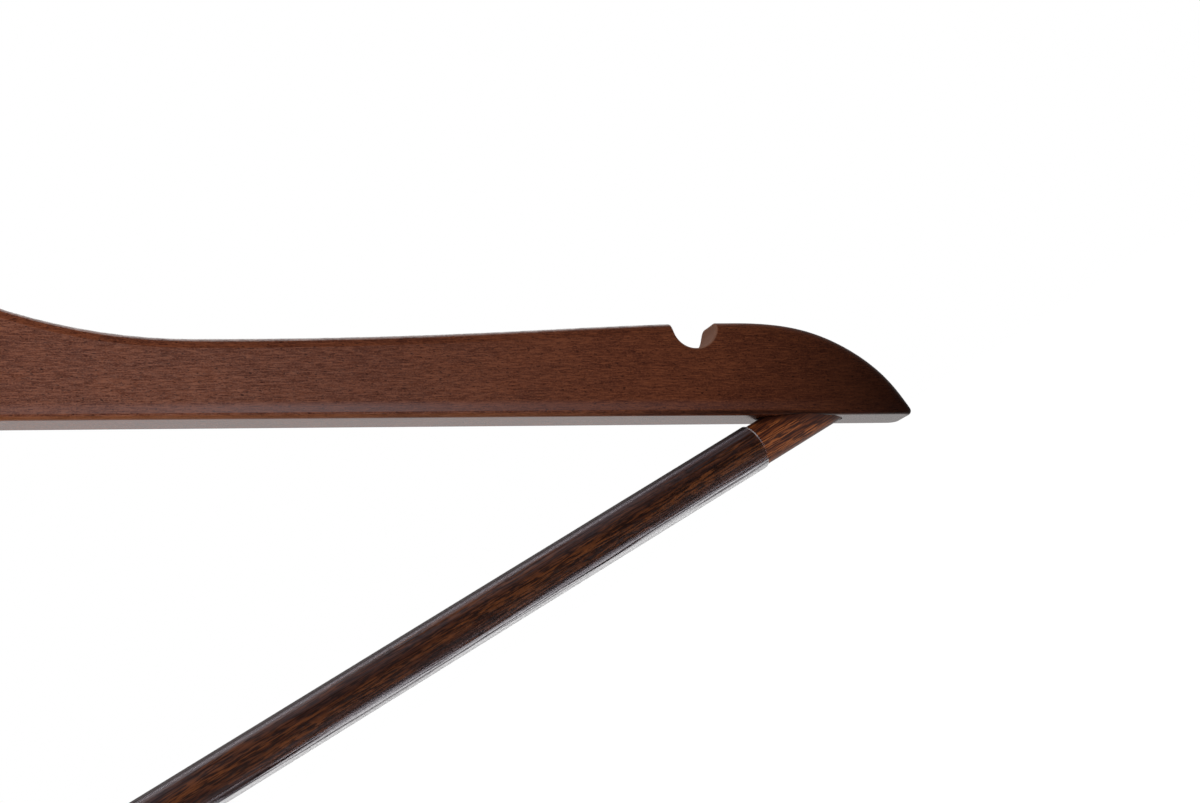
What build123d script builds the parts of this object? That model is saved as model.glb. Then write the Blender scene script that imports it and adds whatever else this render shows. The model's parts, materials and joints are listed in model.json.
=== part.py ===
from build123d import *
import math
import os

# A wooden trouser hanger: two arms finger-jointed at the neck, a swivel hook, and a
# round bar in a ribbed non-slip sleeve. Sizes are in millimetres.
# The origin is where a closet rail bears inside the top of the hook. X runs along the
# bar, Y towards the back face and Z up, so the hanger hangs below the origin.

# Arms
foot_span = 197.8  # centre of the hanger to where the bar's axis meets an arm's underside
arm_slope = 28.65  # fall of an arm's underside, in degrees
arm_thickness = 12.5
top_round = 3.0  # rounding of the edges along the arm's top
edge_round = 1.2
tip_reach = 32.0  # bar's foot to the arm's tip, along the arm, before the tip is rounded
waist_place = 62.4  # where the undersides would meet to the arm's slimmest place, along the arm
waist_depth = 21.0
middle_share = 0.51  # of the way from the waist to the shoulder
middle_depth = 22.7
shoulder_place = 17.0  # bar's foot to the arm's deepest place, along the arm
shoulder_depth = 25.5
nose_reaches = (6.1, 23.0)  # two places past the bar's foot that the rounded nose runs through
nose_depths = (22.2, 11.9)
nose_end_angle = 58.0  # how steeply the nose runs into the underside, in degrees

# Neck and arch
neck_rise = 38.0  # neck's top above the point where the two undersides would meet
neck_round = 10.0
flank_radius = 150.0  # hollow of the arm's top edge between the waist and the neck
arch_radius = 28.0

# Strap notches
notch_place = 29.8  # bar's foot to the notch, along the arm
notch_centre_depth = 24.25
notch_radius = 6.1
notch_lip_round = 0.6

# Finger joint between the arms
finger_count = 6
finger_length = 11.0
finger_taper = 0.7

# Bar and its sleeve
bar_radius = 5.7
bar_seat_share = 0.45  # how far the bar's axis runs on past the underside, against the tip's reach
bar_end_chamfer = 0.6
socket_gap = 0.15
drill_point_angle = 59.0  # half the drill's point angle, in degrees
sleeve_setback = 15.6  # end of the sleeve to the bar's foot
sleeve_gap = 0.05
sleeve_wall = 0.3
rib_height = 0.15
rib_crest = 0.2
rib_root = 0.5
rib_count = 48

# Brads that hold the bar's ends, driven from the back face
brad_share = 0.57  # of the bar's seat
brad_radius = 0.65
brad_length = 10.4
brad_head_radius = 1.2
brad_head_height = 0.6
brad_point = 1.4
brad_sink = 0.15  # head's top below the back face

# Hook
wire_radius = 1.9
hook_inside_radius = 20.0
hook_end_angle = 200.0  # where the round of the hook stops, in degrees from +X
hook_end_run = 4.0
hook_offset_bend = 14.0  # radius of the bend from the shank into the round
shank_above_neck = 14.9
shank_head_radius = 2.95
shank_head_height = 2.2
shank_head_round = 0.6
head_play = 0.08

# Bushing that the hook turns in
bushing_radius = 3.5
bushing_length = 16.0
bushing_bore_gap = 0.05
collar_radius = 4.7
collar_height = 1.2
collar_round = 0.4
collar_sink = 0.7  # how far the collar is let into the neck's rounded top
collar_gap = 0.05
barb_count = 5
barb_pitch = 2.2
barb_depth = 0.3
bore_below_head = 1.6

overrun = 2.0  # how far a cutting tool runs past what it cuts
tolerance = 0.01  # how closely a point is known when edges and corners are picked

# Heights and radii that follow from the sizes above
hook_radius = hook_inside_radius + wire_radius
hook_centre = -hook_inside_radius
bend_drop = math.sqrt(hook_radius**2 + 2 * hook_radius * hook_offset_bend)
shank_top = hook_centre - bend_drop
neck_top = shank_top - shank_above_neck
collar_seat = neck_top - collar_sink
collar_top = collar_seat + collar_height
apex = neck_top - neck_rise
slope = math.radians(arm_slope)
bar_height = apex - foot_span * math.tan(slope)
arch_crown = apex - arch_radius * (1 / math.cos(slope) - 1)
half_thickness = arm_thickness / 2
sleeve_inside = bar_radius + sleeve_gap
sleeve_half_length = foot_span - sleeve_setback
bushing_bottom = collar_seat - bushing_length
bar_seat = bar_seat_share * tip_reach
brad_place = brad_share * bar_seat
head_top = bushing_bottom - head_play
bore_bottom = head_top - shank_head_height - bore_below_head

along = Vector(math.cos(slope), 0, -math.sin(slope))
across = Vector(math.sin(slope), 0, math.cos(slope))
foot = Vector(foot_span, 0, bar_height)


def on_arm(reach, depth):
    """A point of the right arm: reach past the bar's foot, along it, and depth above the underside."""
    return foot + along * reach + across * depth


def from_apex(reach, depth):
    """A point of the right arm: reach from where the undersides would meet, and depth above them."""
    return Vector(0, 0, apex) + along * reach + across * depth


def solid_of(edges, thickness):
    """A closed outline in the XZ plane as a solid of the given thickness, centred on that plane."""
    face = Pos(0, -thickness / 2, 0) * make_face(edges)
    return extrude(face, amount=thickness, dir=(0, 1, 0))


def mirrored(side, shape):
    """The shape as it is on the right arm, or its mirror image for the left arm."""
    return shape if side > 0 else mirror(shape, about=Plane.YZ)


def half_outline():
    """Edges of the right arm's outline: the neck's top, the top edge, the nose and the underside."""
    waist = from_apex(waist_place, waist_depth)
    flank_centre = waist + across * flank_radius
    corner_height = neck_top - neck_round
    reach = flank_radius + neck_round
    corner_x = flank_centre.X - math.sqrt(reach**2 - (flank_centre.Z - corner_height) ** 2)
    corner_centre = Vector(corner_x, 0, corner_height)
    corner_end = corner_centre + (flank_centre - corner_centre).normalized() * neck_round
    flat_end = Vector(corner_x, 0, neck_top)
    shoulder = on_arm(-shoulder_place, shoulder_depth)
    middle_reach = (middle_share - 1) * (foot_span / math.cos(slope) - waist_place - shoulder_place)
    middle = on_arm(middle_reach - shoulder_place, middle_depth)
    tip = on_arm(tip_reach, 0)
    nose = [on_arm(place, depth) for place, depth in zip(nose_reaches, nose_depths)]
    nose_turn = math.radians(nose_end_angle)
    nose_end = along * math.cos(nose_turn) - across * math.sin(nose_turn)
    arch_side = arch_radius * math.sin(slope)
    arch_end = Vector(arch_side, 0, apex - arch_side * math.tan(slope))
    return [
        Line(Vector(0, 0, neck_top), flat_end),
        TangentArc(flat_end, corner_end, tangent=Vector(1, 0, 0)),
        TangentArc(waist, corner_end, tangent=-along),
        Spline(waist, middle, shoulder, tangents=[along, along]),
        Spline(shoulder, *nose, tip, tangents=[along, nose_end]),
        Line(tip, arch_end),
        TangentArc(arch_end, Vector(0, 0, arch_crown), tangent=-along),
    ]


def board():
    """Both arms as one board: its outline, the rounding of its edges and then its strap notches."""
    right = half_outline()
    left = [edge.mirror(Plane.YZ) for edge in right]
    blank = solid_of(right + left, arm_thickness)
    blank = fillet([edge for edge in blank.edges() if on_side(edge) and on_top(edge)], top_round)
    blank = fillet([edge for edge in blank.edges() if on_side(edge) and not on_top(edge)], edge_round)
    notch = on_arm(-notch_place, notch_centre_depth)
    for side in (1, -1):
        centre = Vector(side * notch.X, 0, notch.Z)
        blank -= Pos(centre) * Cylinder(notch_radius, 2 * arm_thickness, rotation=(90, 0, 0))
        blank = fillet([edge for edge in blank.edges() if on_wall(edge, centre)], notch_lip_round)
    return blank


def on_side(edge):
    """Whether an edge lies in the front or the back face."""
    return abs(abs(edge.center().Y) - half_thickness) < tolerance


def on_top(edge):
    """Whether an edge of the front or back face runs along the top, and not the underside or arch."""
    middle = edge @ (1 / 2)
    return Vector(abs(middle.X), 0, middle.Z - apex).dot(across) > edge_round


def on_wall(edge, centre):
    """Whether an edge lies in the wall of the strap notch that is cut round a centre."""
    spots = [edge @ share - centre for share in (0, 1 / 2, 1)]
    return all(abs(math.hypot(spot.X, spot.Z) - notch_radius) < tolerance for spot in spots)


def finger_region():
    """Everything on the right of the finger joint, as the solid that both arms are cut with."""
    floor = bar_height - tip_reach
    pitch = (neck_top - arch_crown) / finger_count
    levels = [arch_crown + step * pitch for step in range(1, finger_count)]
    levels = [floor, *levels, neck_top + overrun]
    zigzag = []
    for step in range(finger_count):
        side = finger_length / 2 if step % 2 else -finger_length / 2
        zigzag += [(side, 0, levels[step] + finger_taper / 2), (side, 0, levels[step + 1] - finger_taper / 2)]
    far = foot_span + tip_reach + overrun
    corners = [*zigzag, (far, 0, zigzag[-1][2]), (far, 0, zigzag[0][2])]
    return solid_of(Polyline(*corners, close=True).edges(), arm_thickness + overrun)


def drilled_hole(radius, depth):
    """A drilled hole as a solid, from its mouth at the origin down to its conical point."""
    cone = radius / math.tan(math.radians(drill_point_angle))
    corners = [(0, 0, 0), (radius, 0, 0), (radius, 0, -depth), (0, 0, -depth - cone)]
    return revolve(make_face(Polyline(*corners, close=True).edges()), axis=Axis.Z)


def hook_bore():
    """The hole in the neck for the bushing and its collar, with room below for the hook's head."""
    depth = neck_top - bore_bottom + overrun
    bore = Pos(0, 0, neck_top + overrun) * drilled_hole(bushing_radius, depth)
    upwards = (Align.CENTER, Align.CENTER, Align.MIN)
    recess = Cylinder(collar_radius + collar_gap, collar_sink + overrun, align=upwards)
    return bore + Pos(0, 0, collar_seat) * recess


def bar_socket():
    """The blind hole for the right end of the bar, drilled level into the arm's underside."""
    hole = drilled_hole(bar_radius + socket_gap, foot_span + bar_seat)
    return Pos(0, 0, bar_height) * Rotation(0, -90, 0) * hole


def at_brad(shape):
    """A shape made along Z, with its top at the origin, put on the right brad's axis."""
    spot = Vector(foot_span + brad_place, half_thickness, bar_height)
    return Pos(spot) * Rotation(-90, 0, 0) * shape


def brad_shape():
    """A brad with its point down and its head sunk below the origin."""
    corners = [
        (0, 0, -brad_sink),
        (brad_head_radius, 0, -brad_sink),
        (brad_head_radius, 0, -brad_sink - brad_head_height / 2),
        (brad_radius, 0, -brad_sink - brad_head_height),
        (brad_radius, 0, brad_point - brad_length),
        (0, 0, -brad_length),
    ]
    return revolve(make_face(Polyline(*corners, close=True).edges()), axis=Axis.Z)


def brad_hole():
    """What a driven brad takes out of the wood: its own shape and the recess above its head."""
    recess = Cylinder(brad_head_radius, brad_sink + overrun, align=(Align.CENTER, Align.CENTER, Align.MIN))
    return brad_shape() + Pos(0, 0, -brad_sink) * recess


def arm(side, blank, region):
    """One arm: its share of the board with its fingers, bar socket, brad hole and half the bore."""
    piece = blank & region if side > 0 else blank - region
    piece -= hook_bore()
    piece -= mirrored(side, bar_socket())
    return piece - mirrored(side, at_brad(brad_hole()))


def trouser_bar():
    """The round bar, with its chamfered ends in the arms and a hole for each brad."""
    bar = Cylinder(bar_radius, 2 * (foot_span + bar_seat), rotation=(0, 90, 0))
    bar = Pos(0, 0, bar_height) * chamfer(bar.edges().filter_by(GeomType.CIRCLE), bar_end_chamfer)
    for side in (1, -1):
        bar -= mirrored(side, at_brad(brad_hole()))
    return bar


def bar_sleeve():
    """The non-slip sleeve: a thin tube with fine ribs along its outside."""
    root = sleeve_inside + sleeve_wall
    crest = root + rib_height
    pitch = 2 * math.pi / rib_count
    corners = []
    for rib in range(rib_count):
        middle = rib * pitch
        for radius, offset in ((root, -rib_root), (crest, -rib_crest), (crest, rib_crest), (root, rib_root)):
            angle = middle + offset / 2 / radius
            corners.append((0, radius * math.cos(angle), radius * math.sin(angle)))
    outline = Pos(-sleeve_half_length, 0, 0) * make_face(Polyline(*corners, close=True).edges())
    tube = extrude(outline, amount=2 * sleeve_half_length, dir=(1, 0, 0))
    tube -= Cylinder(sleeve_inside, 2 * sleeve_half_length + overrun, rotation=(0, 90, 0))
    return Pos(0, 0, bar_height) * tube


def hook():
    """The wire hook: its shank with an upset head, the offset bend, the round and a rounded end."""
    bend_centre = Vector(hook_offset_bend, 0, shank_top)
    round_centre = Vector(0, 0, hook_centre)
    bend_end = bend_centre + (round_centre - bend_centre).normalized() * hook_offset_bend
    turn = math.radians(hook_end_angle)
    round_end = round_centre + Vector(math.cos(turn), 0, math.sin(turn)) * hook_radius
    tip = round_end + Vector(-math.sin(turn), 0, math.cos(turn)) * hook_end_run
    crown = round_centre + Vector(0, 0, hook_radius)
    shank = Line(Vector(0, 0, head_top - shank_head_height / 2), Vector(0, 0, shank_top))
    bend = TangentArc(shank @ 1, bend_end, tangent=Vector(0, 0, 1))
    rise = TangentArc(bend_end, crown, tangent=bend % 1)
    fall = TangentArc(crown, round_end, tangent=Vector(-1, 0, 0))
    path = Wire([shank, bend, rise, fall, Line(round_end, tip)])
    wire = sweep(Plane(origin=shank @ 0, z_dir=(0, 0, 1)) * Circle(wire_radius), path=path)
    head = Cylinder(shank_head_radius, shank_head_height)
    head = fillet(head.edges().filter_by(GeomType.CIRCLE), shank_head_round)
    return wire + Pos(tip) * Sphere(wire_radius) + Pos(0, 0, head_top - shank_head_height / 2) * head


def hook_bushing():
    """The collared, barbed bushing that is pressed into the neck and that the hook turns in."""
    bore = wire_radius + bushing_bore_gap
    barbs = []
    for step in range(barb_count):
        high = collar_seat - (step + 1) * barb_pitch
        barbs += [(bushing_radius, 0, high), (bushing_radius - barb_depth, 0, high)]
        barbs += [(bushing_radius, 0, high - barb_pitch / 2)]
    corners = [
        (bore, 0, collar_top),
        (collar_radius, 0, collar_top),
        (collar_radius, 0, collar_seat),
        (bushing_radius, 0, collar_seat),
        *barbs,
        (bushing_radius, 0, bushing_bottom),
        (bore, 0, bushing_bottom),
    ]
    bushing = revolve(make_face(Polyline(*corners, close=True).edges()), axis=Axis.Z)
    tops = bushing.edges().filter_by(GeomType.CIRCLE).group_by(Axis.Z)[-1]
    return fillet(tops.sort_by(SortBy.RADIUS)[-1], collar_round)


def build():
    """Every piece of the hanger, by name."""
    blank = board()
    region = finger_region()
    brad = at_brad(brad_shape())
    return {
        "hook": hook(),
        "hook_bushing": hook_bushing(),
        "left_arm": arm(-1, blank, region),
        "right_arm": arm(1, blank, region),
        "trouser_bar": trouser_bar(),
        "bar_sleeve": bar_sleeve(),
        "left_brad": mirrored(-1, brad),
        "right_brad": brad,
    }


os.makedirs("parts", exist_ok=True)
for node, piece in build().items():
    export_step(piece, f"parts/{node}.step")
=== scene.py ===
"""Looks of a wooden trouser hanger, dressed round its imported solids.

Lengths are in metres in the solids' own frame: X runs along the bar, Y towards the back face and Z up.
The origin is where a closet rail bears inside the top of the hook.
"""

import json
import logging
import math
from collections.abc import Mapping, Sequence
from dataclasses import dataclass
from enum import Enum

import bpy
from mathutils import Matrix, Vector

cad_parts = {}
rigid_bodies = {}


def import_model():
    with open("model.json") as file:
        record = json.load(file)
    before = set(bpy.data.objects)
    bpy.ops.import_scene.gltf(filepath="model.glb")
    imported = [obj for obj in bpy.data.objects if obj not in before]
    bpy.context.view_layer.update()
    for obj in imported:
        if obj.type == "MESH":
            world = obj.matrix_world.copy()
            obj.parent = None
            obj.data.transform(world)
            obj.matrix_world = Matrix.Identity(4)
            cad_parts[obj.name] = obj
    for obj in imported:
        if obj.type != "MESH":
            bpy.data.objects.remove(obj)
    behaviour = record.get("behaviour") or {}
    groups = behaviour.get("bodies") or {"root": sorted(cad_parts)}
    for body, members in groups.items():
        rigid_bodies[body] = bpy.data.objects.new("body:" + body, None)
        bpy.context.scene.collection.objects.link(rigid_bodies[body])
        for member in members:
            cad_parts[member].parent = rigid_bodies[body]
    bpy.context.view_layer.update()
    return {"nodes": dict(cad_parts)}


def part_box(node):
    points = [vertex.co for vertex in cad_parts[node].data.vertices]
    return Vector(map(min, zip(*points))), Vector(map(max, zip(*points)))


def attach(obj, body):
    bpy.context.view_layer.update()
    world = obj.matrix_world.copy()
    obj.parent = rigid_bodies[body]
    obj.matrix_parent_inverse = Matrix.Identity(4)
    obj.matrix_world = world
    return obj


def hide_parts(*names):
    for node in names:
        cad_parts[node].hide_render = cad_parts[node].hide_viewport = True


LOG = logging.getLogger("hanger")

HANGER_BODY = "hanger_body"
SLEEVE_GAP = 0.00005

Colour = tuple[float, float, float]
Place = tuple[float, float, float]
Span = tuple[float, float]
Table = tuple[tuple[float, float], ...]
Setting = str | int | float | bool

WHITE = (1.0, 1.0, 1.0)


class Side(Enum):
    """The two arms, by the sign of X on each."""

    LEFT = -1
    RIGHT = 1

    @property
    def word(self) -> str:
        """The side's name as the solids use it."""
        return self.name.lower()


class Blend(Enum):
    """How one colour is laid over another."""

    PLAIN = "MIX"
    DARKEN = "MULTIPLY"


class Value:
    """A shader or geometry socket that can be used in plain arithmetic."""

    def __init__(self, graph: "Graph", socket: bpy.types.NodeSocket) -> None:
        """Keeps the socket and the graph it belongs to."""
        self.graph = graph
        self.socket = socket

    def _maths(self, operation: str, *others: "Value | float") -> "Value":
        """Adds one maths node.

        Args:
            operation: The node's operation.
            others: The second and third operands.

        Returns:
            The node's result.
        """
        inputs = {0: self, **dict(enumerate(others, 1))}
        return self.graph.node("ShaderNodeMath", {"operation": operation}, inputs).value()

    def __add__(self, other: "Value | float") -> "Value":
        """This value plus another."""
        return self._maths("ADD", other)

    def __sub__(self, other: "Value | float") -> "Value":
        """This value less another."""
        return self._maths("SUBTRACT", other)

    def __mul__(self, other: "Value | float") -> "Value":
        """This value times another."""
        return self._maths("MULTIPLY", other)

    def __truediv__(self, other: "Value | float") -> "Value":
        """This value divided by another."""
        return self._maths("DIVIDE", other)

    def __rsub__(self, other: float) -> "Value":
        """A number less this value."""
        return (self * -1.0) + other

    __radd__ = __add__
    __rmul__ = __mul__

    def __mod__(self, other: "Value | float") -> "Value":
        """What is left of this value after whole steps of another."""
        return self._maths("MODULO", other)

    def __abs__(self) -> "Value":
        """This value without its sign."""
        return self._maths("ABSOLUTE")

    def __pow__(self, other: float) -> "Value":
        """This value raised to a power."""
        return self._maths("POWER", other)

    def at_most(self, other: "Value | float") -> "Value":
        """The smaller of this value and another."""
        return self._maths("MINIMUM", other)

    def at_least(self, other: "Value | float") -> "Value":
        """The larger of this value and another."""
        return self._maths("MAXIMUM", other)

    def below(self, other: "Value | float") -> "Value":
        """One where this value is less than another, and nought elsewhere."""
        return self._maths("LESS_THAN", other)

    def rounded(self) -> "Value":
        """The nearest whole number."""
        return self._maths("ROUND")

    def sine(self) -> "Value":
        """The sine of this value in radians."""
        return self._maths("SINE")

    def cosine(self) -> "Value":
        """The cosine of this value in radians."""
        return self._maths("COSINE")

    def ramp(self, low: float, high: float) -> "Value":
        """Goes smoothly from nought at low to one at high.

        Args:
            low: The value that gives nought.
            high: The value that gives one. It may be less than low.

        Returns:
            The share of the way from low to high.
        """
        settings = {"interpolation_type": "SMOOTHSTEP"}
        if low < high:
            inputs = {"Value": self, "From Min": low, "From Max": high}
            return self.graph.node("ShaderNodeMapRange", settings, inputs).value()
        inputs = {"Value": self, "From Min": high, "From Max": low, "To Min": 1.0, "To Max": 0.0}
        return self.graph.node("ShaderNodeMapRange", settings, inputs).value()


Link = Value | float | int | bool | Sequence[float] | bpy.types.Material


class Made:
    """A node that has just been added, with short ways to its outputs."""

    def __init__(self, graph: "Graph", node: bpy.types.Node) -> None:
        """Keeps the node and the graph it belongs to."""
        self.graph = graph
        self.node = node

    def value(self, output: str | int = 0) -> Value:
        """One of the node's outputs, ready for arithmetic."""
        return Value(self.graph, self.node.outputs[output])


class Graph:
    """A node tree that is built by calls."""

    def __init__(self, tree: bpy.types.NodeTree) -> None:
        """Empties the tree, so that it holds only what is added here."""
        self.tree = tree
        tree.nodes.clear()

    def node(
        self,
        kind: str,
        settings: Mapping[str, Setting] | None = None,
        inputs: Mapping[str | int, Link] | None = None,
    ) -> Made:
        """Adds a node of any kind.

        Args:
            kind: The node's type.
            settings: Values for the node's own properties.
            inputs: What goes into its sockets, by name or place: a link, or a fixed value.

        Returns:
            The new node.
        """
        made = self.tree.nodes.new(kind)
        for name, setting in (settings or {}).items():
            setattr(made, name, setting)
        for name, link in (inputs or {}).items():
            if isinstance(link, Value):
                self.tree.links.new(link.socket, made.inputs[name])
            else:
                made.inputs[name].default_value = link
        return Made(self, made)

    def place(self, turn: float, centre: Sequence[float] = (0.0, 0.0, 0.0)) -> Value:
        """Object coordinates moved to a centre and turned about Y.

        Args:
            turn: The angle by which the pattern is turned, in radians.
            centre: The point that becomes the pattern's origin.

        Returns:
            The turned coordinates.
        """
        source = self.node("ShaderNodeTexCoord").value("Object")
        inputs = {"Vector": source, "Location": centre, "Rotation": (0.0, turn, 0.0)}
        return self.node("ShaderNodeMapping", {"vector_type": "TEXTURE"}, inputs).value()

    def split(self, vector: Value) -> tuple[Value, Value, Value]:
        """The three parts of a vector."""
        made = self.node("ShaderNodeSeparateXYZ", None, {0: vector})
        return made.value(0), made.value(1), made.value(2)

    def join(self, x: Value | float, y: Value | float, z: Value | float) -> Value:
        """A vector from its three parts."""
        return self.node("ShaderNodeCombineXYZ", None, {0: x, 1: y, 2: z}).value()

    def noise(self, vector: Value, detail: float = 1.0, twist: float = 0.0) -> Value:
        """Smooth random values from nought to one, in blobs of about one unit.

        Args:
            vector: Where the noise is read.
            detail: How many finer layers are added.
            twist: How much the layers pull each other about.

        Returns:
            The noise.
        """
        inputs = {"Vector": vector, "Scale": 1.0, "Detail": detail, "Distortion": twist}
        return self.node("ShaderNodeTexNoise", None, inputs).value(0)

    def mix(
        self,
        share: Value | float,
        under: Value | Colour,
        over: Value | Colour,
        blend: Blend = Blend.PLAIN,
    ) -> Value:
        """One colour laid over another.

        Args:
            share: How much of the upper colour shows.
            under: The lower colour.
            over: The upper colour.
            blend: How the two meet.

        Returns:
            The mixed colour.
        """
        settings = {"data_type": "RGBA", "blend_type": blend.value}
        made = self.node("ShaderNodeMix", settings)
        for place, link in ((0, share), (6, under), (7, over)):
            socket = made.node.inputs[place]
            if isinstance(link, Value):
                self.tree.links.new(link.socket, socket)
            else:
                socket.default_value = link if place == 0 else (*link, 1.0)
        return made.value(2)

    def curve(self, value: Value, points: Table, most: float) -> Value:
        """A smooth curve through points.

        Args:
            value: Where the curve is read.
            points: Places and heights, from the lowest place to the highest.
            most: A height that no point passes.

        Returns:
            The curve's height.
        """
        start, span = points[0][0], points[-1][0] - points[0][0]
        made = self.node("ShaderNodeFloatCurve", None, {"Value": (value - start) / span})
        line = made.node.mapping.curves[0].points
        while len(line) < len(points):
            line.new(0.5, 0.5)
        for spot, (place, height) in zip(line, points):
            spot.location = ((place - start) / span, height / most)
        made.node.mapping.update()
        return made.value() * most

    def bump(self, height: Value) -> Value:
        """A normal bent by a height in metres."""
        return self.node("ShaderNodeBump", None, {"Height": height, "Distance": 1.0}).value()

    def facing(self, outward: Value) -> Value:
        """Nought where a surface is seen square on, and one where it is seen edge on.

        Args:
            outward: The surface's direction in the object's own axes.

        Returns:
            How far it is turned away.
        """
        settings = {"vector_type": "NORMAL", "convert_from": "OBJECT", "convert_to": "WORLD"}
        normal = self.node("ShaderNodeVectorTransform", settings, {"Vector": outward}).value()
        return self.node("ShaderNodeLayerWeight", None, {"Blend": 0.5, "Normal": normal}).value("Facing")


def surface(name: str, fixed: Mapping[str, Link]) -> tuple[bpy.types.Material, Graph, Made]:
    """Starts a material with one shader.

    Args:
        name: The material's name.
        fixed: Values and links that are set straight on the shader's own sockets.

    Returns:
        The material, its graph and its shader.
    """
    material = bpy.data.materials.new(name)
    material.use_nodes = True
    graph = Graph(material.node_tree)
    shader = graph.node("ShaderNodeBsdfPrincipled", None, fixed)
    graph.node("ShaderNodeOutputMaterial", None, {"Surface": shader.value()})
    return material, graph, shader


def feed(graph: Graph, shader: Made, links: Mapping[str, Value]) -> None:
    """Links what varies over a surface to a shader.

    Args:
        graph: The material's graph.
        shader: The shader that is fed.
        links: The value for each of its sockets.
    """
    for name, value in links.items():
        graph.tree.links.new(value.socket, shader.node.inputs[name])


@dataclass(frozen=True)
class Pattern:
    """Random streaks along X of a typical length and width, or blots where the two are alike.

    The layers are finer streaks within them, and the wander is how far they are pulled about.
    """

    length: float
    width: float
    layers: float = 1.0
    wander: float = 0.0

    def through(self, graph: Graph, place: Value) -> Value:
        """Streaks that differ all through a piece.

        Args:
            graph: The material's graph.
            place: Coordinates whose X runs along the streaks.

        Returns:
            Random values from nought to one.
        """
        x, y, z = graph.split(place)
        spot = graph.join(x / self.length, y / self.width, z / self.width)
        return graph.noise(spot, self.layers, self.wander)

    def threads(self, graph: Graph, x: Value, z: Value) -> Value:
        """Streaks that are the same at the front and the back of a piece.

        Args:
            graph: The material's graph.
            x: The place along the streaks.
            z: The place up the piece.

        Returns:
            Random values from nought to one.
        """
        return graph.noise(graph.join(x / self.length, 0.0, z / self.width), self.layers, self.wander)


@dataclass(frozen=True)
class Layer:
    """How much of something shows where a value passes a level."""

    levels: Span
    share: float

    def amount(self, value: Value) -> Value:
        """Nought at the first level and the whole share at the second."""
        return value.ramp(*self.levels) * self.share


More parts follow.
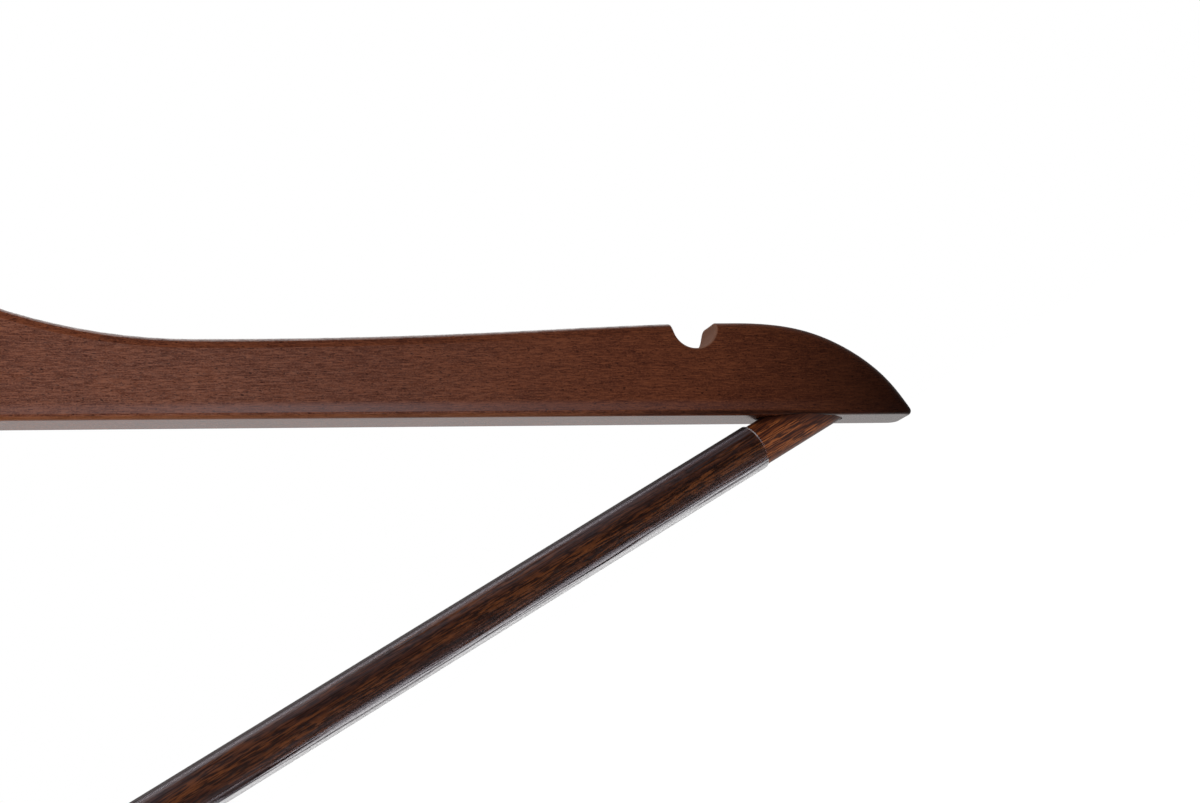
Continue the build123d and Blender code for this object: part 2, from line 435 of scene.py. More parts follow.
@dataclass(frozen=True)
class ArmWood:
    """Red-brown stained hardwood with a close, straight grain under a satin lacquer.

    Places along the arm are counted outward from the bar's foot, and heights upward from the arm's underside.
    """

    bar_height: float
    bar_radius: float
    half_thickness: float
    slope: float = math.radians(28.65)
    foot_span: float = 0.1978
    arch_radius: float = 0.028

    light: Colour = (0.218, 0.063, 0.0250)
    middle: Colour = (0.121, 0.033, 0.0155)
    dark: Colour = (0.050, 0.0118, 0.0065)
    pore: Colour = (0.022, 0.0060, 0.0040)
    worn: Colour = (0.230, 0.078, 0.026)
    raw: Colour = (0.180, 0.092, 0.062)
    # Near-black colour towards which painted shade is mixed.
    painted_shade_colour: Colour = (0.004, 0.0008, 0.0005)
    # Grey-purple colour of the painted reflection band just above the lower edge.
    haze: Colour = (0.200, 0.140, 0.150)

    bands: Pattern = Pattern(0.022, 0.0021, 3.0, 0.4)
    lines: Pattern = Pattern(0.0036, 0.00030, 2.0, 0.3)
    hairs: Pattern = Pattern(0.0016, 0.00017)
    flecks: Pattern = Pattern(0.0012, 0.00030)
    specks: Pattern = Pattern(0.00055, 0.00030, 0.0)
    clouds: Pattern = Pattern(0.014, 0.014, 3.0, 0.5)
    band_share: float = 0.55
    slow_levels: Span = (0.30, 0.70)
    even_share: float = 0.55
    dark_lines: Layer = Layer((0.50, 0.32), 0.60)
    light_lines: Layer = Layer((0.50, 0.68), 0.65)
    dark_hairs: Layer = Layer((0.50, 0.30), 0.55)
    light_specks: Layer = Layer((0.50, 0.72), 0.40)
    open_pores: Layer = Layer((0.62, 0.72), 0.80)

    worn_share: float = 0.45
    worn_patches: float = 0.45
    worn_near: Span = (0.00109, 0.00071)
    worn_place: Span = (-0.040, -0.085)
    # Painted reflection band above the lower edge: its mix, its rise and its fade.
    band_reflection_mix: float = 0.35
    band_reflection_rise: Span = (0.0012, 0.00162)
    band_reflection_fade: Span = (0.0046, 0.0026)
    # Painted shade along the nose's top edge and in the lower rounding, where light falls off.
    nose_edge_shade_near: Layer = Layer((0.0050, 0.0), 0.85)
    nose_edge_shade_place: Span = (-0.030, 0.010)
    low_edge_shade_near: Layer = Layer((0.0018, 0.00084), 0.80)
    low_edge_shade_rise: Span = (0.0, 0.0003)
    low_edge_shade_place: Span = (-0.090, -0.020)
    # Painted shade round the bar's socket.
    socket_shade_near: Layer = Layer((0.0011, 0.0002), 0.80)
    socket_shade_height: Span = (0.0006, 0.0002)

    gloss: float = 0.28
    line_gloss: Layer = Layer((0.36, 0.64), 0.60)
    speck_gloss: Layer = Layer((0.30, 0.70), 0.40)
    fleck_gloss: Layer = Layer((0.62, 0.72), 0.40)
    under_gloss: float = 0.66
    under_grain: float = 0.20
    face_rise: Span = (0.0, 0.00048)
    thin_place: Span = (-0.100, 0.005)
    low_lacquer: Layer = Layer((0.00156, 0.0012), 0.70)
    crest_near: Layer = Layer((0.0012, 0.0009), 2.0)
    crest_place: Span = (-0.012, -0.052)
    roughness: float = 0.30
    line_roughness: float = 0.12
    cut_roughness: float = 0.30
    pore_bump: Layer = Layer((0.36, 0.52), 0.000010)
    ripples: Pattern = Pattern(0.0065, 0.0065)
    ripple_depth: float = 0.00006

    upper_round: float = 0.0030
    upper_width: float = 0.0026
    upper_depth: float = 0.00016
    lower_round: float = 0.0012
    lower_width: float = 0.0032
    lower_depth: float = 0.00032
    neck_place: Span = (-0.210, -0.198)
    notch: Span = (-0.0298, 0.02425)
    notch_radius: float = 0.0061
    notch_shares: Span = (1.10, 1.03)
    # How far the painted shade is held back on the notch wall.
    notch_shade_cap: float = 0.60
    notch_raw: float = 0.45
    notch_hairs: float = 0.50

    # Painted shade along the arm: how much darker the face is painted, rising towards the nose where light
    # falls off.
    nose_falloff_shade: Table = (
        (-0.2100, 0.00),
        (-0.1840, 0.02),
        (-0.1300, 0.17),
        (-0.0900, 0.19),
        (-0.0400, 0.28),
        (-0.0080, 0.50),
        (0.0110, 0.74),
        (0.0270, 0.92),
        (0.0340, 0.96),
    )
    # Strength of the painted reflection band along the arm.
    band_reflection: Table = (
        (-0.2100, 0.30),
        (-0.1840, 0.45),
        (-0.1300, 1.00),
        (-0.0900, 0.70),
        (-0.0500, 0.45),
        (-0.0300, 0.30),
        (0.0110, 0.00),
    )
    top_edge: Table = (
        (-0.2100, 0.0285),
        (-0.1960, 0.0246),
        (-0.1814, 0.0220),
        (-0.1630, 0.0210),
        (-0.1205, 0.0215),
        (-0.0887, 0.0228),
        (-0.0559, 0.0246),
        (-0.0170, 0.0255),
        (0.0003, 0.0239),
        (0.0115, 0.0199),
        (0.0230, 0.0119),
        (0.0320, 0.0000),
    )
    top_most: float = 0.03
    top_step: float = 0.001

    def material(self, side: Side) -> bpy.types.Material:
        """The finish of one arm, with its grain along that arm.

        Args:
            side: The arm.

        Returns:
            The arm's material.
        """
        fixed = {"IOR": 1.45, "Specular IOR Level": 0.03, "Coat Roughness": 0.14, "Coat IOR": 1.48}
        material, graph, shader = surface(f"{side.word}_arm_wood", fixed)
        foot = (side.value * self.foot_span, 0.0, self.bar_height)
        place = graph.place(side.value * self.slope, foot)
        x, y, height = graph.split(place)
        outward = x * float(side.value)
        z = self.above_edge(outward, height)
        room = self.room(graph, outward, height)
        cut = self.cut(outward, z)
        band_reflection = self.band_reflection_share(graph, outward, z)
        lines = self.lines.through(graph, place)
        hairs = self.hairs.through(graph, place)
        flecks = self.flecks.through(graph, place)
        specks = self.specks.through(graph, place)
        cloud = self.clouds.through(graph, place)

        bands = self.bands.through(graph, place).ramp(*self.slow_levels) * self.band_share
        slow = bands + cloud.ramp(*self.slow_levels) * (1.0 - self.band_share)
        tone = graph.mix(self.even_share, graph.mix(slow, self.dark, self.light), self.middle)
        tone = graph.mix(self.dark_lines.amount(lines), tone, self.dark)
        tone = graph.mix(self.light_lines.amount(lines), tone, self.light)
        tone = graph.mix(self.dark_hairs.amount(hairs), tone, self.dark)
        tone = graph.mix(self.light_specks.amount(specks), tone, self.light)
        tone = graph.mix(self.open_pores.amount(flecks), tone, self.pore)
        tone = graph.mix(self.wear(outward, y, z, cloud) * self.worn_share, tone, self.worn)
        # Painted reflection of the bright floor, laid into the colour as a grey-purple band.
        tone = graph.mix(band_reflection * self.band_reflection_mix, tone, self.haze)
        # Painted shade towards the nose, along its top edge and in the lower rounding, held back on the notch
        # wall.
        stain = self.shade(graph, outward, z, room).at_most(1.0 - cut * self.notch_shade_cap)
        tone = graph.mix(stain, tone, self.painted_shade_colour)
        # Painted shade round the bar's socket, where the joint lies in shade.
        tone = graph.mix(self.socket_shade(outward, y, z), tone, self.painted_shade_colour)
        tone = graph.mix(cut * (self.notch_raw + hairs * self.notch_hairs), tone, self.raw)

        gloss = self.gloss + self.line_gloss.amount(lines) + self.speck_gloss.amount(specks)
        gloss = gloss - self.fleck_gloss.amount(flecks)
        face = z.ramp(*self.face_rise)
        gloss = gloss * face + (1.0 - face) * (self.under_gloss + lines * self.under_grain)
        ripple = self.ripples.through(graph, place) * self.ripple_depth
        feed(graph, shader, {
            "Base Color": tone,
            "Roughness": self.roughness + lines * self.line_roughness + cut * self.cut_roughness,
            "Coat Weight": (gloss * self.lacquer(outward, z, room)).at_least(band_reflection) * (1.0 - cut),
            "Normal": graph.bump(self.crown(outward, z, room) + self.pore_bump.amount(lines) + ripple),
        })
        return material

    def above_edge(self, outward: Value, height: Value) -> Value:
        """How far a place lies above the underside, which bends down into the arch below the neck.

        Args:
            outward: The place along the arm.
            height: The place above the underside's straight part.

        Returns:
            The distance.
        """
        start = self.arch_radius * math.tan(self.slope) - self.foot_span / math.cos(self.slope)
        past = (outward - start).at_most(0.0)
        down = height + self.arch_radius
        return (past * past + down * down) ** 0.5 - self.arch_radius

    def wear(self, outward: Value, y: Value, z: Value, cloud: Value) -> Value:
        """How far the stain is rubbed through along the lower front and back edges.

        Args:
            outward: The place along the arm.
            y: The place across the arm's thickness.
            z: The place above the arm's underside.
            cloud: Slow random values.

        Returns:
            Nought where the stain is whole, and one where it is thinnest.
        """
        past_edge = (self.half_thickness - abs(y)).at_least(0.0) + z.at_least(0.0)
        patchy = (self.worn_patches + cloud).at_most(1.0)
        return past_edge.ramp(*self.worn_near) * patchy * outward.ramp(*self.worn_place)

    def band_reflection_share(self, graph: Graph, outward: Value, z: Value) -> Value:
        """Painted reflection: how strong the grey-purple band of mirrored floor is just above the lower edge.

        Args:
            graph: The material's graph.
            outward: The place along the arm.
            z: The place above the arm's underside.

        Returns:
            Nought where no reflection is painted, and one where it is strongest.
        """
        return z.ramp(*self.band_reflection_rise) * z.ramp(*self.band_reflection_fade) * graph.curve(outward, self.band_reflection, 1.0)

    def lacquer(self, outward: Value, z: Value, room: Value) -> Value:
        """How thick the lacquer lies, which is thin towards the nose and over the lower rounding.

        Args:
            outward: The place along the arm.
            z: The place above the arm's underside.
            room: How far the top edge is.

        Returns:
            The share of the full coat.
        """
        face = z.ramp(*self.face_rise)
        thin = face * outward.ramp(*self.thin_place)
        low = face * self.low_lacquer.amount(z)
        crest = self.crest_near.amount(room) * outward.ramp(*self.crest_place)
        return ((1.0 - thin) * (1.0 - low)).at_least(crest)

    def socket_shade(self, outward: Value, y: Value, z: Value) -> Value:
        """Painted shade: the dark ring round the bar's socket in the underside, where the joint lies in
        shade.

        Args:
            outward: The place along the arm.
            y: The place across the arm's thickness.
            z: The place above the arm's underside.

        Returns:
            The painted shade's share, most at the bar and nought away from it.
        """
        up = z * math.cos(self.slope) - outward * math.sin(self.slope)
        away = (up * up + y * y) ** 0.5 - self.bar_radius
        return self.socket_shade_near.amount(away) * z.ramp(*self.socket_shade_height)

    def shade(self, graph: Graph, outward: Value, z: Value, room: Value) -> Value:
        """Painted shade: how much darker the face is painted towards the nose, along the nose's top edge and
        in the lower rounding, where light falls off.

        Args:
            graph: The material's graph.
            outward: The place along the arm.
            z: The place above the arm's underside.
            room: How far the top edge is.

        Returns:
            Nought where no shade is painted, and more where it is darker.
        """
        rim = self.nose_edge_shade_near.amount(room) * outward.ramp(*self.nose_edge_shade_place)
        low = self.low_edge_shade_near.amount(z) * z.ramp(*self.low_edge_shade_rise) * outward.ramp(*self.low_edge_shade_place)
        return graph.curve(outward, self.nose_falloff_shade, 1.0).at_least(rim).at_least(low)

    def room(self, graph: Graph, outward: Value, height: Value) -> Value:
        """How far the top edge is from a place on a face.

        Args:
            graph: The material's graph.
            outward: The place along the arm.
            height: The place above the underside's straight part.

        Returns:
            The distance.
        """
        top = graph.curve(outward, self.top_edge, self.top_most)
        ahead = graph.curve(outward + self.top_step, self.top_edge, self.top_most)
        fall = (top - ahead) / self.top_step
        return ((top - height) / (fall * fall + 1.0) ** 0.5).at_least(0.0)

    def crown(self, outward: Value, z: Value, room: Value) -> Value:
        """The height of the faces' soft crown, which falls away towards the board's edges.

        Args:
            outward: The place along the arm.
            z: The place above the arm's underside.
            room: How far the top edge is.

        Returns:
            The height, nought in the middle of a face and less near an edge.
        """
        upper = (1.0 - (room - self.upper_round).at_least(0.0) / self.upper_width).at_least(0.0)
        upper = upper * outward.ramp(*self.neck_place)
        lower = (1.0 - (z - self.lower_round).at_least(0.0) / self.lower_width).at_least(0.0)
        return upper * upper * -self.upper_depth - lower * lower * self.lower_depth

    def cut(self, outward: Value, z: Value) -> Value:
        """Where the wall of the strap notch is, which is rougher and paler than the faces.

        Args:
            outward: The place along the arm.
            z: The place above the arm's underside.

        Returns:
            One on the notch's wall and nought elsewhere.
        """
        across, up = outward - self.notch[0], z - self.notch[1]
        away = (across * across + up * up) ** 0.5
        return (away / self.notch_radius).ramp(*self.notch_shares)


@dataclass(frozen=True)
class BarWood:
    """Stained dowel whose coarse open pores run along it."""

    light: Colour = (0.300, 0.088, 0.024)
    middle: Colour = (0.110, 0.028, 0.010)
    dark: Colour = (0.026, 0.007, 0.005)
    bands: Pattern = Pattern(0.030, 0.0016, 2.0, 0.4)
    band_levels: Span = (0.36, 0.64)
    pores: Pattern = Pattern(0.0042, 0.00034, 2.0)
    dark_pores: Layer = Layer((0.58, 0.42), 0.92)
    pore_depth: float = 0.00005
    # Darkening under the sleeve: the wet look of wood under clinging film, and painted shade for the light
    # the sleeve holds back.
    wet_and_shade: Colour = (0.40, 0.40, 0.40)
    # Painted reflection of the sleeve's plastic, a grey-purple veil in streaks, growing towards the bar's top
    # and bottom.
    sleeve_reflection: Colour = (0.30, 0.26, 0.29)
    sleeve_reflection_threads: Pattern = Pattern(0.050, 0.00055, 2.0)
    sleeve_reflection_amount: Layer = Layer((0.25, 0.68), 0.46)
    sleeve_reflection_bend: float = 2.2
    # Painted shade on the bar where it meets the arms' undersides.
    contact_shade: Layer = Layer((0.0024, 0.0004), 0.80)
    coat: float = 0.15
    covered_coat: float = 0.06
    roughness: float = 0.34
    pore_roughness: float = 0.20
    cover_fade: float = 0.00033

    def material(self, arms: ArmWood, tube: "RibbedTube") -> bpy.types.Material:
        """The finish of the bar, which is darker where the sleeve clings to it, has painted shade where it
        meets the arms and a painted reflection of the sleeve.

        Args:
            arms: The arms' finish, which knows where their undersides cross the bar.
            tube: The sleeve.

        Returns:
            The bar's material.
        """
        fixed = {"IOR": 1.45, "Specular IOR Level": 0.08, "Coat Roughness": 0.20}
        material, graph, shader = surface("bar_wood", fixed)
        place = graph.place(0.0, (0.0, 0.0, tube.height))
        x, _, z = graph.split(place)
        pores = self.pores.through(graph, place)
        bands = self.bands.through(graph, place)
        tone = graph.mix(bands.ramp(*self.band_levels), self.middle, self.light)
        tone = graph.mix(self.dark_pores.amount(pores), tone, self.dark)
        covered = abs(x).ramp(tube.half_length, tube.half_length - self.cover_fade)
        # Darker under the sleeve: wet look of the wood, and painted shade for the light the sleeve holds
        # back.
        tone = graph.mix(covered, tone, graph.mix(1.0, tone, self.wet_and_shade, Blend.DARKEN))
        # Painted reflection of the sleeve, laid into the wood's colour.
        sleeve_reflection_share = self.sleeve_reflection_amount.amount(self.sleeve_reflection_threads.threads(graph, x, z))
        sleeve_reflection_share = sleeve_reflection_share * (abs(z) / tube.inside) ** self.sleeve_reflection_bend
        tone = graph.mix(sleeve_reflection_share * covered, tone, self.sleeve_reflection)
        # Painted shade on the bar just under the arms.
        below = (arms.foot_span - abs(x)) * math.sin(arms.slope) - z * math.cos(arms.slope)
        tone = graph.mix(self.contact_shade.amount(below), tone, self.dark)
        feed(graph, shader, {
            "Base Color": tone,
            "Coat Weight": self.coat + covered * (self.covered_coat - self.coat),
            "Roughness": self.roughness + pores * self.pore_roughness,
            "Normal": graph.bump(pores * self.pore_depth),
        })
        return material


@dataclass(frozen=True)
class ClearPlastic:
    """Clear soft plastic, a little smoky, that shows the wood under it.

    Depths are shares of the sleeve's radius, downward from its axis.
    """

    tint: Colour = (0.42, 0.37, 0.43)
    rim: Colour = (0.052, 0.040, 0.041)
    # Colour of the painted highlight streaks along the sleeve's underside, where it mirrors the bright floor.
    glint_colour: Colour = (0.90, 0.89, 0.90)
    rim_levels: Span = (0.46, 0.60)
    rim_share: float = 0.97
    streaks: Pattern = Pattern(0.040, 0.00042, 2.0)
    streak_levels: Span = (0.40, 0.52)
    glint_depth: Span = (0.50, 0.94)
    solid_depth: Span = (0.80, 0.95)
    glint_share: float = 0.95
    thin: Layer = Layer((0.90, 0.97), 0.45)
    # The sleeve's cut end: more opaque plastic, painted as a highlight that is brighter towards its top.
    cut_width: float = 0.00018
    cut_height: Span = (0.2, -0.6)
    cut_share: float = 0.50
    cut_least: float = 0.15
    haze: Pattern = Pattern(0.004, 0.004, 2.0)
    roughness: float = 0.16
    haze_roughness: float = 0.14
    ripple_depth: float = 0.00002

    def material(self, tube: "RibbedTube") -> bpy.types.Material:
        """The finish of the sleeve.

        Args:
            tube: The sleeve.

        Returns:
            The sleeve's material.
        """
        fixed = {"IOR": 1.50, "Specular IOR Level": 0.06}
        material, graph, shader = surface("sleeve_plastic", fixed)
        place = graph.place(0.0, (0.0, 0.0, tube.height))
        x, y, z = graph.split(place)
        haze = self.haze.through(graph, place)
        rim = graph.facing(graph.join(0.0, y, z)).ramp(*self.rim_levels)
        depth = z * (-1.0 / tube.outside)
        streaks = self.streaks.threads(graph, x, z).ramp(*self.streak_levels)
        # Painted highlight: streaks of mirrored floor along the sleeve's underside.
        glint = depth.ramp(*self.glint_depth) * streaks.at_least(depth.ramp(*self.solid_depth))
        # Painted highlight on the cut end, more opaque there and brighter towards its top.
        cut_glint = abs(x).ramp(tube.half_length - self.cut_width, tube.half_length - self.cut_width * 0.5)
        lit = (self.cut_least + depth.ramp(*self.cut_height)).at_most(1.0)
        cut_glint = cut_glint * lit * self.cut_share
        cover = (rim * self.rim_share).at_least(glint * self.glint_share) * (1.0 - self.thin.amount(depth))
        feed(graph, shader, {
            "Base Color": graph.mix(glint.at_least(cut_glint), graph.mix(rim, self.tint, self.rim), self.glint_colour),
            "Alpha": cover.at_least(cut_glint),
            "Roughness": self.roughness + haze * self.haze_roughness,
            "Normal": graph.bump(haze * self.ripple_depth),
        })
        return material


@dataclass(frozen=True)
class Plating:
    """Bright plate over drawn or turned steel."""

    name: str
    colour: Colour = (0.60, 0.605, 0.615)
    smeared: float = 0.86
    smears: Pattern = Pattern(0.006, 0.006, 3.0)
    smear_levels: Span = (0.35, 0.70)
    smear_roughness: float = 0.06
    roughness: float = 0.10
    scratches: Pattern = Pattern(0.0007, 0.0007, 2.0)
    scratch_roughness: Layer = Layer((0.60, 0.80), 0.08)

    def material(self) -> bpy.types.Material:
        """The finish of a plated piece.

        Returns:
            The piece's material.
        """
        material, graph, shader = surface(self.name, {"Metallic": 1.0})
        place = graph.place(0.0)
        smear = self.smears.through(graph, place)
        rough = self.roughness + smear * self.smear_roughness
        shade = tuple(self.smeared * part for part in self.colour)
        feed(graph, shader, {
            "Base Color": graph.mix(smear.ramp(*self.smear_levels), self.colour, shade),
            "Roughness": rough + self.scratch_roughness.amount(self.scratches.through(graph, place)),
        })
        return material


def dress(node: bpy.types.Object, material: bpy.types.Material) -> None:
    """Gives a solid its finish in every one of its material slots."""
    for place in range(len(node.data.materials)):
        node.data.materials[place] = material


@dataclass
class Hook:
    """The wire hook and the bushing in the neck that it turns in."""

    nodes: Mapping[str, bpy.types.Object]
    wire: Plating = Plating("hook_wire")
    bushing: Plating = Plating("bushing_metal", roughness=0.16)

    def build(self) -> list[str]:
        """Dresses the hook and its bushing.

        Returns:
            The names of the dressed pieces.
        """
        dress(self.nodes["hook"], self.wire.material())
        dress(self.nodes["hook_bushing"], self.bushing.material())
        return ["hook", "hook_bushing"]


@dataclass
class Arms:
    """The two wooden arms."""

    nodes: Mapping[str, bpy.types.Object]
    wood: ArmWood

    def build(self) -> list[str]:
        """Dresses both arms, each with its own grain.

        Returns:
            The names of the dressed pieces.
        """
        for side in Side:
            dress(self.nodes[f"{side.word}_arm"], self.wood.material(side))
        return [f"{side.word}_arm" for side in Side]


@dataclass
class RibbedTube:
    """A thin tube along X with ribs along its outside, made by geometry nodes."""

    inside: float
    half_length: float
    height: float
    wall: float = 0.0003
    rib_height: float = 0.00015
    rib_sharpness: float = 1.6
    ribs: int = 48
    ripple: float = 0.00006
    ripple_length: float = 0.022
    steps_per_rib: int = 8
    stations: int = 56
    weld_share: float = 0.0001

    @property
    def outside(self) -> float:
        """The radius over the ribs."""
        return self.inside + self.wall + self.rib_height

    def tree(self, material: bpy.types.Material) -> bpy.types.NodeTree:
        """Builds the tree that makes the tube.

        Args:
            material: The tube's finish.

        Returns:
            The tree, with a named input for each size.
        """
        tree = bpy.data.node_groups.new("ribbed_tube", "GeometryNodeTree")
        graph = Graph(tree)
        tree.interface.new_socket("Geometry", in_out="OUTPUT", socket_type="NodeSocketGeometry")
        for name in self.inputs():
            kind = "NodeSocketInt" if name in ("Ribs", "Stations") else "NodeSocketFloat"
            tree.interface.new_socket(name, in_out="INPUT", socket_type=kind)
        sizes = graph.node("NodeGroupInput")
        ribs, stations = sizes.value("Ribs"), sizes.value("Stations")
        rows = stations * 2.0
        across = ribs * float(self.steps_per_rib)
        counts = {"Size X": 1.0, "Size Y": 1.0, "Vertices X": across + 1.0, "Vertices Y": rows + 1.0}
        grid = graph.node("GeometryNodeMeshGrid", None, counts).value("Mesh")
        u, v, _ = graph.split(graph.node("GeometryNodeInputPosition").value())
        turn = (u + 0.5) * math.tau
        row = ((v + 0.5) * rows).rounded() % rows
        outer = row.below(stations - 0.5)
        along = (row.at_most(rows - 1.0 - row) / (stations - 1.0)) * 2.0 - 1.0
        x = along * sizes.value("Half length")
        rib = ((turn * ribs).cosine() * 0.5 + 0.5) ** self.rib_sharpness
        wave = graph.join(x / self.ripple_length, turn.sine(), turn.cosine())
        wander = graph.noise(wave) - 0.5
        swell = rib * sizes.value("Rib height") + wander * sizes.value("Ripple")
        radius = sizes.value("Inside") + outer * (sizes.value("Wall") + swell)
        spot = graph.join(x, radius * turn.sine(), radius * turn.cosine() + sizes.value("Height"))
        bent = graph.node("GeometryNodeSetPosition", None, {"Geometry": grid, "Position": spot}).value()
        inputs = {"Geometry": bent, "Distance": self.inside * self.weld_share}
        closed = graph.node("GeometryNodeMergeByDistance", None, inputs).value()
        real = graph.node("GeometryNodeRealizeInstances", None, {"Geometry": closed}).value()
        inputs = {"Geometry": real, "Material": material}
        done = graph.node("GeometryNodeSetMaterial", None, inputs).value()
        graph.node("NodeGroupOutput", None, {"Geometry": done})
        return tree

    def inputs(self) -> dict[str, float | int]:
        """The value of each of the tree's inputs, by name."""
        return {
            "Inside": self.inside,
            "Wall": self.wall,
            "Rib height": self.rib_height,
            "Ribs": self.ribs,
            "Stations": self.stations,
            "Half length": self.half_length,
            "Ripple": self.ripple,
            "Height": self.height,
        }

    def build(self, name: str, material: bpy.types.Material) -> bpy.types.Object:
        """Makes the tube as a plain mesh.

        Args:
            name: The piece's name.
            material: The tube's finish.

        Returns:
            The finished piece.
        """
        holder = bpy.data.objects.new(name, bpy.data.meshes.new(name))
        bpy.context.collection.objects.link(holder)
        maker = holder.modifiers.new("tube", "NODES")
        maker.node_group = self.tree(material)
        sockets = {item.name: item.identifier for item in maker.node_group.interface.items_tree}
        for label, value in self.inputs().items():
            maker[sockets[label]] = value
        graph = bpy.context.evaluated_depsgraph_get()
        mesh = bpy.data.meshes.new_from_object(holder.evaluated_get(graph))
        holder.modifiers.clear()
        holder.data = mesh
        mesh.shade_smooth()
        return holder


@dataclass
class Bar:
    """The round bar with its ribbed sleeve and the brads that hold its ends."""

    nodes: Mapping[str, bpy.types.Object]
    sleeve: RibbedTube
    arms: ArmWood
    wood: BarWood = BarWood()
    plastic: ClearPlastic = ClearPlastic()
    steel: Plating = Plating("brad_steel", colour=(0.42, 0.41, 0.40), roughness=0.32)

    def build(self) -> list[str]:
        """Dresses the bar and the brads, and makes the sleeve.

        Returns:
            The names of the pieces.
        """
        dress(self.nodes["trouser_bar"], self.wood.material(self.arms, self.sleeve))
        steel = self.steel.material()
        for side in Side:
            dress(self.nodes[f"{side.word}_brad"], steel)
        tube = self.sleeve.build("ribbed_sleeve", self.plastic.material(self.sleeve))
        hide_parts("bar_sleeve")
        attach(tube, HANGER_BODY)
        return ["trouser_bar", *(f"{side.word}_brad" for side in Side), tube.name]


@dataclass(frozen=True)
class Lamp:
    """A soft square lamp that looks at the hanger: where it stands, its side and its power in watts."""

    name: str
    place: Place
    size: float
    power: float


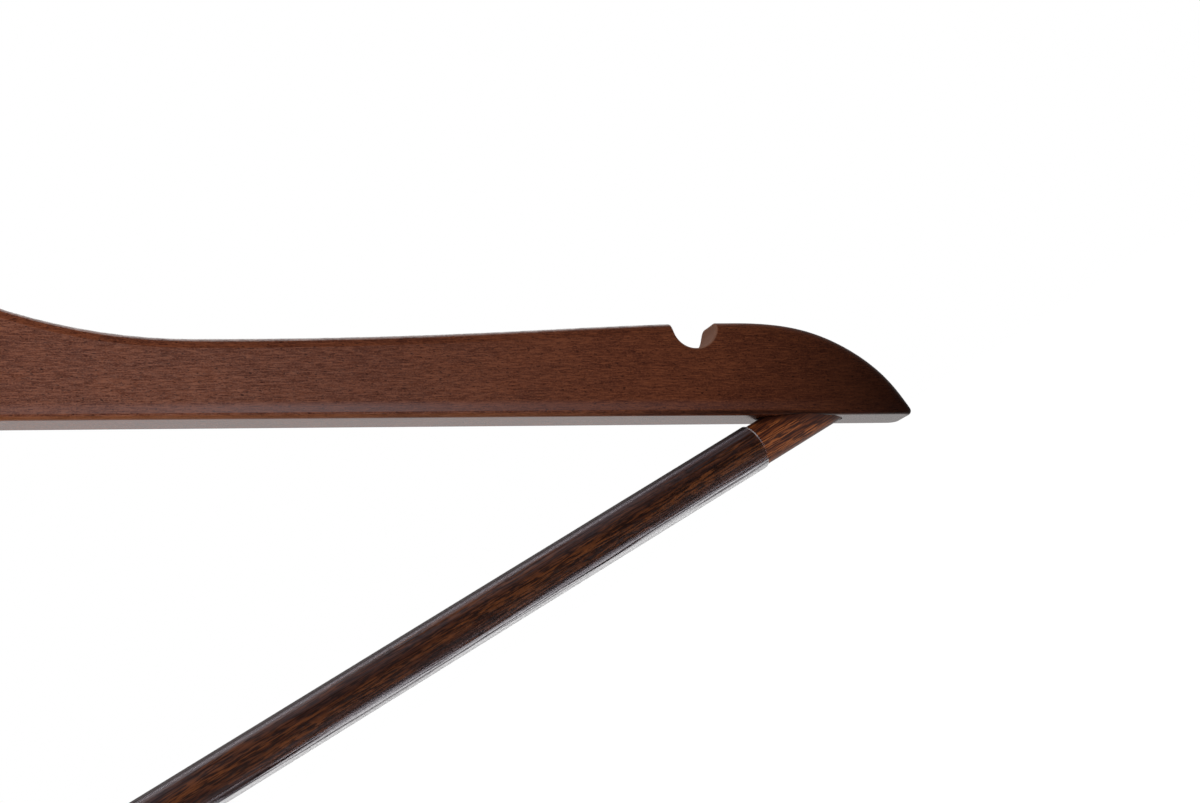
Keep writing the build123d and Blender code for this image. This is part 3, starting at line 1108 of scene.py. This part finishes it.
@dataclass
class Studio:
    """A white tent: a pale floor, a white surround, soft lamps and the camera."""

    aim: Place = (0.15144, 0.0, -0.18276)
    distance: float = 0.78319
    yaw: float = math.radians(-22.768)
    pitch: float = math.radians(2.144)
    roll: float = math.radians(-31.628)
    lens: float = 90.0
    film_width: float = 36.0
    nearest: float = 0.01
    surround: float = 0.50
    floor_height: float = -0.30
    floor_size: float = 8.0
    floor_shade: float = 0.80
    floor_glow: float = 0.62
    card_sides: Span = (-1.6, 2.4)
    card_reach: float = 1.5
    card_top: float = 1.2
    card_lift: float = 0.002
    card_across: Layer = Layer((0.86, 0.40), 0.75)
    card_upward: Span = (0.50, 0.0)
    ceiling_glow: float = 0.04
    rear_glow: float = 0.84
    rear_tint: Colour = (1.0, 0.95, 0.94)
    patch: Span = (0.21, -0.85)
    patch_near: Layer = Layer((0.48, 0.0), 3.0)
    patch_top: float = 0.50
    lamps: tuple[Lamp, ...] = (
        Lamp("key", (-0.30, -0.62, 0.10), 0.5, 2.6),
        Lamp("top", (0.30, 0.50, 1.20), 1.0, 8.0),
    )

    def build(self) -> None:
        """Sets up the camera, the surround, the floor, the cards and the lamps."""
        self.camera()
        self.world()
        self.floor()
        self.cards()
        for lamp in self.lamps:
            self.light(lamp)
        bpy.context.scene.view_settings.view_transform = "Standard"

    def turned(self) -> Matrix:
        """The camera's turn: level and looking along Y, then yawed, pitched and rolled."""
        level = Matrix.Rotation(self.yaw, 4, "Z") @ Matrix.Rotation(math.pi / 2 + self.pitch, 4, "X")
        return level @ Matrix.Rotation(self.roll, 4, "Z")

    def camera(self) -> None:
        """Adds the camera."""
        data = bpy.data.cameras.new("camera")
        data.lens = self.lens
        data.sensor_width = self.film_width
        data.clip_start = self.nearest
        eye = bpy.data.objects.new("camera", data)
        bpy.context.collection.objects.link(eye)
        turn = self.turned()
        away = turn.to_3x3() @ Vector((0.0, 0.0, self.distance))
        eye.matrix_world = Matrix.Translation(Vector(self.aim) + away) @ turn
        bpy.context.scene.camera = eye

    def world(self) -> None:
        """Makes the surround white to the camera, to gloss and through clear plastic."""
        world = bpy.data.worlds.new("surround")
        bpy.context.scene.world = world
        world.use_nodes = True
        graph = Graph(world.node_tree)
        strength = self.seen(graph) * (1.0 - self.surround) + self.surround
        inputs = {"Color": (*WHITE, 1.0), "Strength": strength}
        light = graph.node("ShaderNodeBackground", None, inputs).value()
        graph.node("ShaderNodeOutputWorld", None, {"Surface": light})

    def seen(self, graph: Graph) -> Value:
        """Tells the rays that see the surround as white from those that only light the hanger.

        Args:
            graph: The graph that asks.

        Returns:
            One for rays from the camera, off gloss and through clear plastic, and nought for others.
        """
        path = graph.node("ShaderNodeLightPath")
        rays = path.value("Is Camera Ray") + path.value("Is Glossy Ray") + path.value("Is Transmission Ray")
        return rays.at_most(1.0)

    def floor(self) -> None:
        """Adds the floor, white to the camera but for the object's shadow, and clear from underneath."""
        material = bpy.data.materials.new("floor")
        material.use_nodes = True
        graph = Graph(material.node_tree)
        grey = (self.floor_shade, self.floor_shade, self.floor_shade, 1.0)
        plain = graph.node("ShaderNodeBsdfDiffuse", None, {"Color": grey}).value()
        strength = self.seen(graph) * self.floor_glow
        glow = graph.node("ShaderNodeEmission", None, {"Strength": strength}).value()
        both = graph.node("ShaderNodeAddShader", None, {0: plain, 1: glow}).value()
        below = graph.node("ShaderNodeNewGeometry").value("Backfacing")
        clear = graph.node("ShaderNodeBsdfTransparent").value()
        done = graph.node("ShaderNodeMixShader", None, {0: below, 1: both, 2: clear}).value()
        graph.node("ShaderNodeOutputMaterial", None, {"Surface": done})
        half = self.floor_size / 2
        signs = ((-1, -1), (1, -1), (1, 1), (-1, 1))
        corners = [(x * half, y * half, self.floor_height) for x, y in signs]
        self.sheet("floor", corners, material)

    def cards(self) -> None:
        """Adds cards before, behind, above and below the hanger, which only gloss sees."""
        low, high = self.floor_height + self.card_lift, self.card_top
        (left, right), reach = self.card_sides, self.card_reach
        front = [(left, -reach, low), (right, -reach, low), (right, -reach, high), (left, -reach, high)]
        back = [(x, -y, z) for x, y, z in reversed(front)]
        lying = [(left, -reach, low), (right, -reach, low), (right, 0.0, low), (left, 0.0, low)]
        rear = [(x, -y, z) for x, y, z in reversed(lying)]
        ceiling = [(left, -reach, high), (right, -reach, high), (right, 0.0, high), (left, 0.0, high)]
        cards = {
            "front_card": front,
            "lying_card": lying,
            "ceiling_card": ceiling,
            "back_card": back,
            "rear_card": rear,
        }
        for name, corners in cards.items():
            card = self.sheet(name, corners, self.card_finish(name))
            card.visible_camera = False
            card.visible_diffuse = False
            card.visible_shadow = False
            card.visible_transmission = False

    def card_finish(self, name: str) -> bpy.types.Material:
        """A card's glow: ahead of the hanger it falls off to the right and upward, round a bright patch.

        Args:
            name: The card's name.

        Returns:
            The card's material.
        """
        material = bpy.data.materials.new(name)
        material.use_nodes = True
        graph = Graph(material.node_tree)
        x, y, z = graph.split(graph.node("ShaderNodeTexCoord").value("Object"))
        across, deep = x - self.patch[0], y - self.patch[1]
        patch = self.patch_near.amount((across * across + deep * deep) ** 0.5) * z.below(self.patch_top)
        plain = self.card_across.amount(x) * z.ramp(*self.card_upward)
        ahead = y.below(0.0)
        strength = (plain + patch + self.ceiling_glow) * ahead + self.rear_glow * (1.0 - ahead)
        colour = self.rear_tint if name == "rear_card" else WHITE
        inputs = {"Color": (*colour, 1.0), "Strength": strength}
        glow = graph.node("ShaderNodeEmission", None, inputs).value()
        graph.node("ShaderNodeOutputMaterial", None, {"Surface": glow})
        return material

    def sheet(self, name: str, corners: Sequence[Place], material: bpy.types.Material) -> bpy.types.Object:
        """Adds a flat piece of the stage.

        Args:
            name: The piece's name.
            corners: Its four corners.
            material: Its finish.

        Returns:
            The piece.
        """
        mesh = bpy.data.meshes.new(name)
        mesh.from_pydata(corners, [], [(0, 1, 2, 3)])
        mesh.materials.append(material)
        piece = bpy.data.objects.new(name, mesh)
        bpy.context.collection.objects.link(piece)
        return piece

    def light(self, lamp: Lamp) -> None:
        """Adds a lamp.

        Args:
            lamp: The lamp.
        """
        data = bpy.data.lights.new(lamp.name, "AREA")
        data.size = lamp.size
        data.energy = lamp.power
        made = bpy.data.objects.new(lamp.name, data)
        bpy.context.collection.objects.link(made)
        place = Vector(lamp.place)
        turn = (Vector(self.aim) - place).to_track_quat("-Z", "Y").to_matrix().to_4x4()
        made.matrix_world = Matrix.Translation(place) @ turn


def clear_scene() -> None:
    """Removes whatever the scene starts with."""
    for item in list(bpy.data.objects):
        bpy.data.objects.remove(item)


def main() -> None:
    """Builds the hanger's looks, piece by piece, and then its stage."""
    logging.basicConfig(level=logging.INFO, format="%(name)s: %(message)s")
    clear_scene()
    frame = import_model()
    nodes = frame["nodes"]
    sleeve_low, sleeve_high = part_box("bar_sleeve")
    bar_low, bar_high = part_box("trouser_bar")
    _, arm_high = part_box("right_arm")
    bar_height = (bar_low.z + bar_high.z) / 2
    bar_radius = (bar_high.z - bar_low.z) / 2
    wood = ArmWood(bar_height=bar_height, bar_radius=bar_radius, half_thickness=arm_high.y)
    sleeve = RibbedTube(
        inside=bar_radius + SLEEVE_GAP,
        half_length=(sleeve_high.x - sleeve_low.x) / 2,
        height=bar_height,
    )
    for assembly in (Hook(nodes), Arms(nodes, wood), Bar(nodes, sleeve, wood)):
        for piece in assembly.build():
            LOG.info("made %s", piece)
    Studio().build()


if __name__ == "__main__":
    main()
